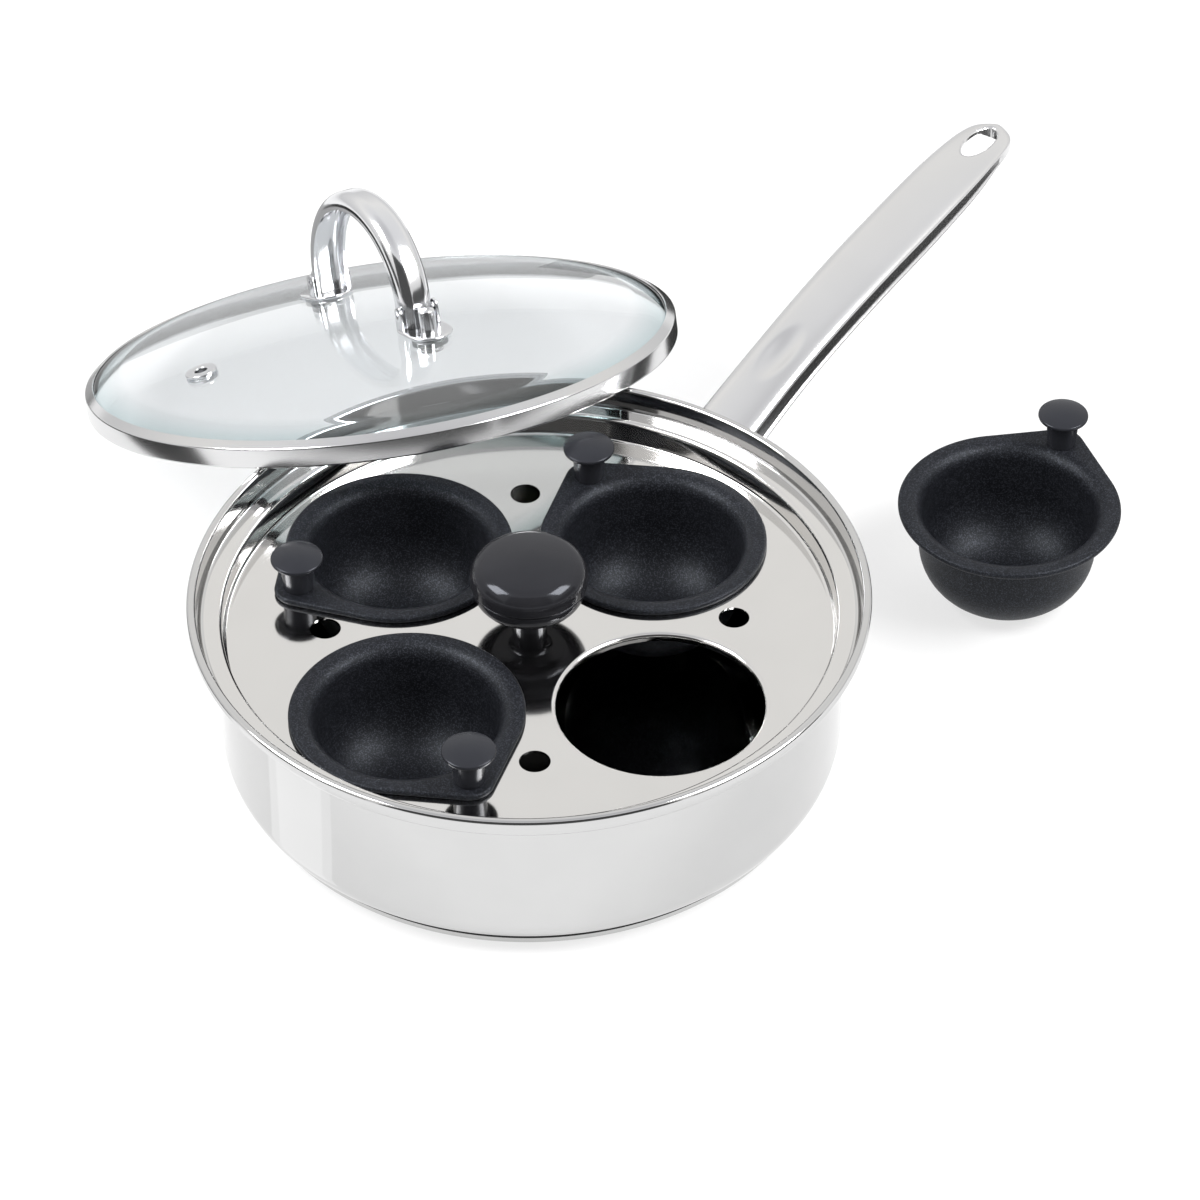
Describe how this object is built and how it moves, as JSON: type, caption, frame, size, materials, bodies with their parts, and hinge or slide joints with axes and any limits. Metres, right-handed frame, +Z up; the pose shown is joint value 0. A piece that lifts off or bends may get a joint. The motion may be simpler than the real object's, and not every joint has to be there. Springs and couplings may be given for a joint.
{
  "type": "egg poacher pan",
  "caption": "Lidded steel pan with a lift-out tray of drop-shaped non-stick egg cups, a domed glass lid leaning on the rim and a long pressed handle.",
  "frame": {"origin": "centre of the pan's base, on the table", "axes": "+Z up along the pan's axis; the picture is taken looking along +Y, with +X to its right"},
  "size_m": [0.3423, 0.3496, 0.0962],
  "materials": {
    "pan_steel": "mirror-polished stainless steel",
    "handle_steel": "satin-polished stainless steel",
    "tray_steel": "polished stainless steel sheet",
    "band_steel": "polished rolled band",
    "grip_steel": "mirror-polished",
    "fastener_steel": "plain bright",
    "core_aluminium": "plain plate",
    "knob_plastic": "gloss black moulded plastic",
    "nonstick": "dark blue-black non-stick coating with fine sparkle",
    "lid_glass": "clear tempered glass, faint blue-green edge",
    "washer_rubber": "translucent silicone"
  },
  "bodies": {
    "pan": {"pan_body": "pan_steel", "base_core": "core_aluminium", "base_cap": "pan_steel", "pan_handle": "handle_steel"},
    "tray": {"tray_plate": "tray_steel", "tray_knob_grip": "knob_plastic", "tray_knob_cap": "knob_plastic", "tray_knob_screw": "fastener_steel"},
    "cup_rear_right": {"cup_rear_right": "nonstick", "cup_rear_right_knob": "knob_plastic", "cup_rear_right_screw": "fastener_steel"},
    "cup_rear_left": {"cup_rear_left": "nonstick", "cup_rear_left_knob": "knob_plastic", "cup_rear_left_screw": "fastener_steel"},
    "cup_front_left": {"cup_front_left": "nonstick", "cup_front_left_knob": "knob_plastic", "cup_front_left_screw": "fastener_steel"},
    "cup_loose": {"cup_loose": "nonstick", "cup_loose_knob": "knob_plastic", "cup_loose_screw": "fastener_steel"},
    "lid": {"lid_glass": "lid_glass", "lid_band": "band_steel", "lid_handle": "grip_steel", "lid_vent_eyelet": "fastener_steel", "lid_foot_rear": "grip_steel", "lid_boss_rear": "grip_steel", "lid_washer_rear": "washer_rubber", "lid_screw_rear": "fastener_steel", "lid_foot_front": "grip_steel", "lid_boss_front": "grip_steel", "lid_washer_front": "washer_rubber", "lid_screw_front": "fastener_steel"}
  },
  "joints": [
    {"name": "tray_lift", "type": "slide", "parent": "pan", "child": "tray", "axis": [0, 0, 1], "range_m": [0, 0.08]},
    {"name": "cup_rear_left_lift", "type": "slide", "parent": "tray", "child": "cup_rear_left", "axis": [0, 0, 1], "range_m": [0, 0.06]},
    {"name": "cup_rear_right_lift", "type": "slide", "parent": "tray", "child": "cup_rear_right", "axis": [0, 0, 1], "range_m": [0, 0.06]},
    {"name": "cup_front_left_lift", "type": "slide", "parent": "tray", "child": "cup_front_left", "axis": [0, 0, 1], "range_m": [0, 0.06]},
    {"name": "lid_lift", "type": "slide", "parent": "cup_rear_left", "child": "lid", "axis": [0, 0, 1], "range_m": [0, 0.12]},
    {"name": "cup_loose_lift", "type": "slide", "parent": "pan", "child": "cup_loose", "axis": [0, 0, 1], "range_m": [0, 0.08]}
  ]
}
